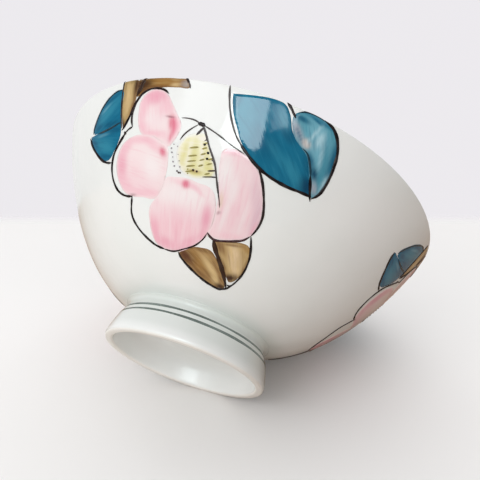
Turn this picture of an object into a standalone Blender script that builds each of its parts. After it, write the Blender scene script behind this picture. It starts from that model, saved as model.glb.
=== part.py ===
"""Porcelain rice bowl with a luted foot ring and three hand-painted camellia sprays.

The bowl stands upright on its foot.  +Z is the axis of the turned form and the
origin is the centre of the foot's resting face.  The front spray faces -Y.
"""

import math

import bmesh
import bpy
from mathutils import Vector

MM = 0.001

# Driving dimensions, in millimetres.
RIM_RADIUS = 57.5
BOWL_HEIGHT = 55.0
LIP_THICKNESS = 2.6
BASE_UNDERSIDE = 8.0
BASE_THICKNESS = 4.2
TREAD_INNER_RADIUS = 21.9
TREAD_OUTER_RADIUS = 22.9
FOOT_NECK_RADIUS = 19.9
FOOT_TOP = 11.2
SEAM = 0.3

# The outer wall's section is one cubic curve: start at the foot, two handles, rim.
WALL_START = (18.7, 11.45)
WALL_LOW_HANDLE = (42.8, 15.0)
WALL_HIGH_HANDLE = (57.6, 54.2)
WALL_END = (RIM_RADIUS, BOWL_HEIGHT)

# The inside's section is another one, from the middle of the floor to the lip.
INSIDE_LOW_HANDLE = (38.0, 12.4)
INSIDE_HIGH_HANDLE = (54.6, 44.0)

TURN_STEPS = 64
WALL_STEPS = 13
MERGE = 0.00001

# Two thin underglaze lines ring the foot.
FOOT_LINE_WIDTH = 0.6
FOOT_LINE_THICKNESS = 0.35
FOOT_LINES = {"foot_line_upper": 8.8, "foot_line_lower": 7.0}

# Overglaze enamel stands a little proud of the wall.
ENAMEL_CLEARANCE = 0.35
ENAMEL_THICKNESS = 0.45

# Outlines are drawn on the unrolled wall: degrees round the bowl, and millimetres
# down the wall from the rim.  This ratio makes the two directions alike for smoothing.
MM_PER_DEGREE = 0.8
OUTLINE_STEPS = 2
SHEET_CELL = 6.5

# Each spray: name, degrees round the bowl, and how far it sits below the first one.
SPRAYS = (
    ("front", 0.0, 0.0),
    ("right", 114.5, 1.5),
    ("left", 237.0, 0.5),
)

SPRAY_OUTLINES = {
    "top_petal": (
        "pink_enamel",
        ((-36.9, 8.0), (-35.2, 5.4), (-32.2, 4.6), (-28.6, 6.0), (-25.8, 9.0), (-25.4, 12.5),
         (-28.0, 14.6), (-34.0, 14.2), (-37.0, 12.4)),
    ),
    "left_petal": (
        "pink_enamel",
        ((-39.5, 16.8), (-35.0, 15.8), (-30.0, 16.6), (-27.0, 19.5), (-26.6, 24.0), (-29.5, 28.4),
         (-36.0, 29.6), (-42.5, 28.4), (-45.6, 24.5), (-44.4, 20.0)),
    ),
    "lower_petal": (
        "pink_enamel",
        ((-27.0, 29.6), (-24.0, 26.6), (-17.5, 25.6), (-11.5, 27.0), (-9.2, 31.5), (-9.6, 36.6),
         (-13.0, 40.4), (-19.0, 42.4), (-26.5, 41.8), (-33.0, 38.6), (-36.0, 34.6), (-34.0, 31.2)),
    ),
    "right_petal": (
        "pink_enamel",
        ((-8.0, 17.0), (-4.6, 16.2), (-1.0, 17.8), (3.6, 22.4), (6.4, 28.0), (5.4, 33.0), (0.6, 35.4),
         (-5.4, 35.8), (-7.2, 32.0), (-7.2, 26.0)),
    ),
    "stamens": (
        "yellow_enamel",
        ((-17.4, 13.4), (-13.8, 15.6), (-11.0, 20.0), (-12.4, 23.2), (-17.4, 23.9), (-22.0, 21.8),
         (-23.0, 18.2), (-20.8, 15.0)),
    ),
    "big_leaf_left": (
        "teal_enamel",
        ((-10.4, 3.4), (-6.0, 1.8), (0.5, 1.5), (2.6, 3.4), (5.2, 7.6), (11.0, 11.0), (14.0, 14.0),
         (15.4, 17.6), (10.0, 18.2), (2.6, 17.0), (-3.4, 14.2), (-8.4, 9.0)),
    ),
    "big_leaf_right": (
        "teal_enamel",
        ((5.4, 2.0), (11.0, 1.4), (15.4, 3.2), (18.0, 7.4), (18.9, 12.6), (18.3, 16.4), (16.2, 13.4),
         (12.4, 9.0), (7.8, 6.0)),
    ),
    "small_leaf_upper": (
        "teal_enamel",
        ((-45.6, 3.4), (-44.9, 6.6), (-45.2, 10.6), (-50.0, 11.9), (-55.6, 12.0), (-56.6, 10.6),
         (-54.4, 7.4), (-50.0, 4.6)),
    ),
    "small_leaf_lower": (
        "teal_enamel",
        ((-45.6, 12.3), (-45.2, 15.0), (-48.0, 18.6), (-51.4, 19.2), (-55.0, 16.8), (-57.4, 13.6),
         (-51.0, 13.0)),
    ),
    "top_sepal": (
        "brown_enamel",
        ((-42.6, 1.6), (-39.4, 1.6), (-38.9, 4.4), (-39.9, 8.2), (-42.0, 10.8), (-43.1, 6.6)),
    ),
    "bud": (
        "brown_enamel",
        ((-36.6, 1.8), (-31.0, 1.4), (-25.0, 1.6), (-24.0, 2.7), (-29.0, 3.3), (-35.8, 3.4)),
    ),
    "lower_sepal_left": (
        "brown_enamel",
        ((-16.4, 43.4), (-12.6, 42.0), (-7.4, 41.4), (-2.8, 42.4), (1.2, 45.6), (3.6, 48.6),
         (-1.6, 48.9), (-8.4, 47.9), (-14.0, 45.8)),
    ),
    "lower_sepal_right": (
        "brown_enamel",
        ((-2.4, 38.8), (1.4, 37.4), (6.6, 36.7), (9.4, 38.8), (9.2, 43.0), (6.8, 46.4), (4.2, 44.6),
         (0.8, 41.6)),
    ),
}

# Name of the surface: base colour and roughness.
FINISHES = {
    "porcelain": ((0.80, 0.81, 0.80), 0.12),
    "foot_line": ((0.16, 0.24, 0.24), 0.20),
    "pink_enamel": ((0.82, 0.42, 0.50), 0.18),
    "teal_enamel": ((0.01, 0.16, 0.27), 0.18),
    "brown_enamel": ((0.30, 0.18, 0.07), 0.20),
    "yellow_enamel": ((0.78, 0.76, 0.36), 0.20),
}


def clear_scene():
    """Remove whatever objects the file starts with."""
    for obj in list(bpy.data.objects):
        bpy.data.objects.remove(obj, do_unlink=True)


def make_materials():
    """One Principled material for each finish."""
    materials = {}
    for name, (colour, roughness) in FINISHES.items():
        material = bpy.data.materials.new(name)
        material.use_nodes = True
        shader = material.node_tree.nodes["Principled BSDF"]
        shader.inputs["Base Color"].default_value = (*colour, 1.0)
        shader.inputs["Roughness"].default_value = roughness
        materials[name] = material
    return materials


def cubic_point(ends, t):
    """Point at t on the cubic curve with the four given control points."""
    weights = ((1 - t) ** 3, 3 * (1 - t) ** 2 * t, 3 * (1 - t) * t ** 2, t ** 3)
    radius = sum(w * p[0] for w, p in zip(weights, ends))
    height = sum(w * p[1] for w, p in zip(weights, ends))
    return radius, height


def cubic(ends, steps):
    """Evenly stepped points along a cubic section curve."""
    return [cubic_point(ends, i / steps) for i in range(steps + 1)]


def outer_wall(steps):
    """Outer section of the wall, from the rim down to the foot."""
    return cubic((WALL_END, WALL_HIGH_HANDLE, WALL_LOW_HANDLE, WALL_START), steps)


def inside(steps):
    """Inside section, from the middle of the floor up to the lip."""
    floor = (0.0, BASE_UNDERSIDE + BASE_THICKNESS)
    lip = (RIM_RADIUS - LIP_THICKNESS, BOWL_HEIGHT - 0.6)
    return cubic((floor, INSIDE_LOW_HANDLE, INSIDE_HIGH_HANDLE, lip), steps)


def foot_outside(height):
    """Radius of the foot ring's outside at a height: it flares towards the table."""
    flare = TREAD_OUTER_RADIUS + 0.75
    rise = (height - 1.0) / (FOOT_TOP - 1.0)
    return flare - 2.0 * rise - (flare - 2.0 - FOOT_NECK_RADIUS) * rise ** 3


def new_object(name, mesh, material, collection):
    """Link a mesh as a named object with one material."""
    mesh.materials.clear()
    mesh.materials.append(material)
    obj = bpy.data.objects.new(name, mesh)
    collection.objects.link(obj)
    return obj


def turned(name, section, closed, material, collection):
    """Turn a section of (radius, height) points about +Z with a Screw modifier."""
    points = [(radius * MM, 0.0, height * MM) for radius, height in section]
    edges = [(i, i + 1) for i in range(len(points) - 1)]
    if closed:
        edges.append((len(points) - 1, 0))
    mesh = bpy.data.meshes.new(name)
    mesh.from_pydata(points, edges, [])
    obj = new_object(name, mesh, material, collection)
    screw = obj.modifiers.new("turn", "SCREW")
    screw.axis = "Z"
    screw.angle = 2 * math.pi
    screw.steps = TURN_STEPS
    screw.render_steps = TURN_STEPS
    screw.use_merge_vertices = True
    screw.merge_threshold = MERGE
    screw.use_smooth_shade = True
    return obj


def bowl_wall(materials, collection):
    """The thrown wall and base: inside, rounded lip, outside, and the disc under the floor."""
    lip = [
        (RIM_RADIUS - 0.72 * LIP_THICKNESS, BOWL_HEIGHT - 0.12),
        (RIM_RADIUS - 0.35 * LIP_THICKNESS, BOWL_HEIGHT),
        (RIM_RADIUS - 0.10 * LIP_THICKNESS, BOWL_HEIGHT - 0.15),
    ]
    seam_height = FOOT_TOP + SEAM
    plug_radius = FOOT_NECK_RADIUS - 1.9
    outside = [point for point in outer_wall(WALL_STEPS)[1:] if point[0] > FOOT_NECK_RADIUS + 0.4]
    joint = [(FOOT_NECK_RADIUS, seam_height), (plug_radius, seam_height)]
    under = [(plug_radius, BASE_UNDERSIDE), (0.0, BASE_UNDERSIDE + 0.4)]
    edge = [(RIM_RADIUS, BOWL_HEIGHT - 0.7)]
    section = inside(WALL_STEPS) + lip + edge + outside + joint + under
    return turned("bowl_wall", section, False, materials["porcelain"], collection)


def foot_ring(materials, collection):
    """The ring luted under the base, flared outside, hollow inside, with a flat tread."""
    bore = FOOT_NECK_RADIUS - 1.9 + SEAM
    heights = (FOOT_TOP, 10.0, 8.6, 6.5, 4.0, 1.0)
    outside = [(foot_outside(height), height) for height in heights]
    tread = [(TREAD_OUTER_RADIUS + 0.5, 0.3), (TREAD_OUTER_RADIUS, 0.0), (TREAD_INNER_RADIUS, 0.0)]
    hollow = [(TREAD_INNER_RADIUS - 0.6, 0.5), (20.4, 4.8), (19.6, 6.8), (bore, BASE_UNDERSIDE)]
    section = outside + tread + hollow + [(bore, FOOT_TOP)]
    return turned("foot_ring", section, True, materials["porcelain"], collection)


def foot_line(name, height, materials, collection):
    """One painted line round the foot, a flat band that follows the foot's slope."""
    half = FOOT_LINE_WIDTH / 2
    top = height + half
    bottom = height - half
    near = ENAMEL_CLEARANCE
    far = ENAMEL_CLEARANCE + FOOT_LINE_THICKNESS
    section = [
        (foot_outside(top) + far, top),
        (foot_outside(bottom) + far, bottom),
        (foot_outside(bottom) + near, bottom),
        (foot_outside(top) + near, top),
    ]
    return turned(name, section, True, materials["foot_line"], collection)


class WallChart:
    """Places on the outer wall, found from degrees round it and millimetres down it."""

    def __init__(self):
        self.section = outer_wall(240)
        self.drops = [0.0]
        for (r0, z0), (r1, z1) in zip(self.section, self.section[1:]):
            self.drops.append(self.drops[-1] + math.hypot(r1 - r0, z1 - z0))

    def place(self, degrees, drop, lift):
        """Point at a lift above the wall's surface, in metres."""
        drop = min(max(drop, 0.0), self.drops[-1])
        index = 0
        while self.drops[index + 1] < drop:
            index += 1
        (r0, z0), (r1, z1) = self.section[index], self.section[index + 1]
        length = self.drops[index + 1] - self.drops[index]
        share = (drop - self.drops[index]) / length
        radius = r0 + share * (r1 - r0) + lift * (z0 - z1) / length
        height = z0 + share * (z1 - z0) + lift * (r1 - r0) / length
        turn = math.radians(degrees)
        return Vector((radius * math.sin(turn), -radius * math.cos(turn), height)) * MM


def flat_sheet(name, outline, collection):
    """A filled flat mesh inside a smooth closed outline of (degrees, drop) points."""
    curve = bpy.data.curves.new(name, "CURVE")
    curve.dimensions = "2D"
    curve.fill_mode = "BOTH"
    curve.resolution_u = OUTLINE_STEPS
    spline = curve.splines.new("BEZIER")
    spline.bezier_points.add(len(outline) - 1)
    spline.use_cyclic_u = True
    for point, (degrees, drop) in zip(spline.bezier_points, outline):
        point.co = (degrees * MM_PER_DEGREE, -drop, 0.0)
        point.handle_left_type = "AUTO"
        point.handle_right_type = "AUTO"
    flat = bpy.data.objects.new(name, curve)
    collection.objects.link(flat)
    evaluated = flat.evaluated_get(bpy.context.evaluated_depsgraph_get())
    mesh = bpy.data.meshes.new_from_object(evaluated)
    bpy.data.objects.remove(flat, do_unlink=True)
    return mesh


def cut_into_cells(sheet):
    """Cut a flat sheet along a square grid, so that it can bend."""
    for axis in (Vector((1, 0, 0)), Vector((0, 1, 0))):
        reach = [vert.co.dot(axis) for vert in sheet.verts]
        first = math.ceil(min(reach) / SHEET_CELL)
        last = math.floor(max(reach) / SHEET_CELL)
        for step in range(first, last + 1):
            geometry = sheet.verts[:] + sheet.edges[:] + sheet.faces[:]
            bmesh.ops.bisect_plane(
                sheet, geom=geometry, dist=0.02, plane_co=axis * step * SHEET_CELL, plane_no=axis
            )


def enamel_patch(name, outline, place, chart, material, collection):
    """One patch of enamel: a flat sheet wrapped round the wall and thickened outwards."""
    turn, lower = place
    mesh = flat_sheet(name, outline, collection)
    sheet = bmesh.new()
    sheet.from_mesh(mesh)
    bmesh.ops.remove_doubles(sheet, verts=sheet.verts, dist=0.02)
    cut_into_cells(sheet)
    bmesh.ops.remove_doubles(sheet, verts=sheet.verts, dist=0.05)
    bmesh.ops.triangulate(sheet, faces=sheet.faces)
    for vert in sheet.verts:
        degrees = vert.co.x / MM_PER_DEGREE + turn
        vert.co = chart.place(degrees, lower - vert.co.y, ENAMEL_CLEARANCE)
    sheet.to_mesh(mesh)
    sheet.free()
    mesh.shade_smooth()
    patch = new_object(name, mesh, material, collection)
    solidify = patch.modifiers.new("thickness", "SOLIDIFY")
    solidify.thickness = ENAMEL_THICKNESS * MM
    solidify.offset = 1.0
    return patch


def enamel_sprays(materials, collection):
    """Every patch of every spray."""
    chart = WallChart()
    for spray, turn, lower in SPRAYS:
        for part, (finish, outline) in SPRAY_OUTLINES.items():
            name = f"{spray}_{part}"
            enamel_patch(name, outline, (turn, lower), chart, materials[finish], collection)


def main():
    clear_scene()
    collection = bpy.data.collections.new("rice_bowl")
    bpy.context.scene.collection.children.link(collection)
    materials = make_materials()
    bowl_wall(materials, collection)
    foot_ring(materials, collection)
    for name, height in FOOT_LINES.items():
        foot_line(name, height, materials, collection)
    enamel_sprays(materials, collection)


main()
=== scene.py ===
import math

import bmesh
import bpy
import numpy as np
from mathutils import Matrix, Vector


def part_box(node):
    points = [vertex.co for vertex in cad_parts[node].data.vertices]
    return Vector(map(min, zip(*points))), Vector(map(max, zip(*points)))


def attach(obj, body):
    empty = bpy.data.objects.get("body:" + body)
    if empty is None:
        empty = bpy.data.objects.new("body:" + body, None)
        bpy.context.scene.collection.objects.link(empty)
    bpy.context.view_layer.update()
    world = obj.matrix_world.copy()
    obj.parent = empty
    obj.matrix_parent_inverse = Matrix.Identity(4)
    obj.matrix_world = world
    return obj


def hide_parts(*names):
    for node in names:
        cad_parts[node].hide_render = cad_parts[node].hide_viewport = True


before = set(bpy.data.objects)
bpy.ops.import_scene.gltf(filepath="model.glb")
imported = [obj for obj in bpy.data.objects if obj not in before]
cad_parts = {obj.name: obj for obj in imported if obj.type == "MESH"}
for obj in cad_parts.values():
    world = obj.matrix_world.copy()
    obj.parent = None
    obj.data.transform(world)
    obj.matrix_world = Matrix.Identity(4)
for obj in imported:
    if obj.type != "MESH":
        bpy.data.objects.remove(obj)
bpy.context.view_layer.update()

# A porcelain rice bowl: a glazed wall on a flared foot, two painted lines round the foot, and
# three camellia sprays in enamel with dark brush lines.

MM = 0.001

# ---- sizes, in millimetres
WALL_LOW, WALL_HIGH = (np.array(corner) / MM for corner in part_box("bowl_wall"))
_, FOOT_HIGH = (np.array(corner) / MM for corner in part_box("foot_ring"))
RIM_RADIUS = WALL_HIGH[0]
BOWL_HEIGHT = WALL_HIGH[2]
BASE_UNDERSIDE = WALL_LOW[2]
FLOOR_TOP = BASE_UNDERSIDE + 4.2

# The rounded lip: its height, how far it stands in from the rim, and where the outer wall
# starts under it.
LIP_THICKNESS = 2.6
LIP_RISE = 1.0
LIP_INSET = 0.15
LIP_DROP = 0.9

# The foot is widest at its toe, and a cove joins its neck to the wall.
FOOT_TOP = FOOT_HIGH[2]
FOOT_RADIUS = FOOT_HIGH[0]
FOOT_TAPER = 2.0
FOOT_NECK_RADIUS = 19.9
TOE_HEIGHT = 1.0
COVE_HEIGHT = 10.0
TREAD_INNER_RADIUS = 21.9
TREAD_OUTER_RADIUS = 22.9

# Sections of the outer wall (rim to foot) and of the inside (floor to lip), as Bezier curves.
OUTER_SECTION = ((RIM_RADIUS, BOWL_HEIGHT), (57.6, 54.2), (42.8, 15.0), (18.7, 11.45))
INNER_RIM = (RIM_RADIUS - LIP_THICKNESS, BOWL_HEIGHT - 0.6)
INNER_SECTION = ((0.0, FLOOR_TOP), (38.0, 12.4), (54.6, 44.0), INNER_RIM)
TURN_STEPS = 224

# Painted lines round the foot: height of each, and the section of the band as share of its
# half width and rise above the glaze.
FOOT_LINES = {"foot_line_upper": 8.8, "foot_line_lower": 7.0}
FOOT_LINE_HALF = 0.34
FOOT_LINE_SECTION = ((1.0, -0.1), (1.0, 0.012), (0.0, 0.03), (-1.0, 0.012), (-1.0, -0.1))
FOOT_LINE_STEPS = 720

# Each spray: node prefix, degrees round the bowl, and how far it sits below the first.
SPRAYS = (("front", 0.0, 0.0), ("right", 114.5, 1.5), ("left", 237.0, 0.5))

# The wall is charted flat, with each degree round it drawn this wide.  Enamel is cut into
# cells of the chart, thins away towards its border, and reaches a little into the wall.
MM_PER_DEGREE = 0.8
SHEET_CELL = 0.5
ENAMEL_RISE = {"pink_enamel": 0.03, "teal_enamel": 0.06, "brown_enamel": 0.05, "yellow_enamel": 0.03}
ENAMEL_EDGE = 0.6
ENAMEL_CLEAR = 0.01
SUNK = 0.12

# Sections of a brush line and of a dot: share of the half width or radius, and rise above the
# wall.  A line's half width is LINE_WEIGHT of its listed width where the brush presses fully.
LINE_SECTION = (
    (-1.0, -SUNK), (-1.0, 0.09), (-0.5, 0.15), (0.0, 0.17), (0.5, 0.15), (1.0, 0.09), (1.0, -SUNK),
)
LINE_WEIGHT = 0.55
LINE_SPACING = 0.35
LINE_TAPER = 2.2
DOT_SECTION = ((1.0, -SUNK), (1.0, 0.10), (0.7, 0.17), (0.3, 0.19))
DOT_STEPS = 10
HATCH_WIDTH = 0.34
HATCH_SLANT = 0.3

# ---- colours, linear
GLAZE_WHITE = (0.80, 0.81, 0.80)
GLAZE_SHADE = (0.77, 0.79, 0.775)
GLAZE_POOL = (0.66, 0.73, 0.69)
# The foot's outer glaze: a greener glaze, darkened further as painted shade.
FOOT_GLAZE_AND_SHADE = (0.60, 0.635, 0.605)
IRON_SPECK = (0.36, 0.30, 0.24)
CLAY_DARK = (0.74, 0.72, 0.68)
CLAY_LIGHT = (0.82, 0.80, 0.77)
WHITE = (0.83, 0.79, 0.785)
PINK_PALE = (0.83, 0.69, 0.70)
PINK_SOFT = (0.82, 0.61, 0.64)
PINK = (0.81, 0.50, 0.56)
PINK_DEEP = (0.76, 0.36, 0.45)
PINK_RED = (0.66, 0.14, 0.22)
LILAC = (0.66, 0.45, 0.52)
PLUM = (0.30, 0.12, 0.15)
TEAL = (0.007, 0.135, 0.235)
TEAL_INK = (0.003, 0.035, 0.085)
TEAL_DEEP = (0.003, 0.078, 0.155)
TEAL_MID = (0.045, 0.22, 0.30)
TEAL_LIGHT = (0.03, 0.22, 0.32)
TEAL_OPEN = (0.09, 0.30, 0.38)
TEAL_WASH = (0.18, 0.42, 0.52)
# Milky teal: pale brush streaks on the leaf, partly a painted highlight.
TEAL_STREAK_AND_HIGHLIGHT = (0.42, 0.63, 0.70)
LILAC_GREY = (0.36, 0.37, 0.42)
# A painted highlight on the large leaf.
PEACH_HIGHLIGHT = (0.66, 0.54, 0.48)
OLIVE = (0.27, 0.19, 0.075)
OCHRE = (0.36, 0.22, 0.085)
OCHRE_DEEP = (0.30, 0.155, 0.04)
OCHRE_LIGHT = (0.47, 0.33, 0.15)
OCHRE_PALE = (0.63, 0.46, 0.23)
OCHRE_CREAM = (0.74, 0.57, 0.37)
BROWN = (0.165, 0.078, 0.030)
UMBER = (0.085, 0.028, 0.014)
BROWN_DEEP = (0.038, 0.016, 0.009)
YELLOW = (0.68, 0.62, 0.28)
YELLOW_DEEP = (0.67, 0.63, 0.27)
YELLOW_PALE = (0.78, 0.75, 0.50)
BUD_GREY = (0.30, 0.26, 0.25)
INK = (0.008, 0.005, 0.006)
INK_SOFT = (0.020, 0.012, 0.012)
INK_GREY = (0.070, 0.058, 0.058)
INK_MIST = (0.33, 0.31, 0.33)
INK_BROWN = (0.036, 0.016, 0.008)
INK_OLIVE = (0.33, 0.29, 0.09)
INK_PLUM = (0.050, 0.018, 0.020)
INK_TEAL = (0.010, 0.040, 0.060)
INK_DRY = (0.15, 0.115, 0.10)
LINE_GREEN = (0.105, 0.135, 0.12)
LINE_FAINT = (0.42, 0.50, 0.48)
LINE_WORN = (0.55, 0.62, 0.60)

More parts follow.
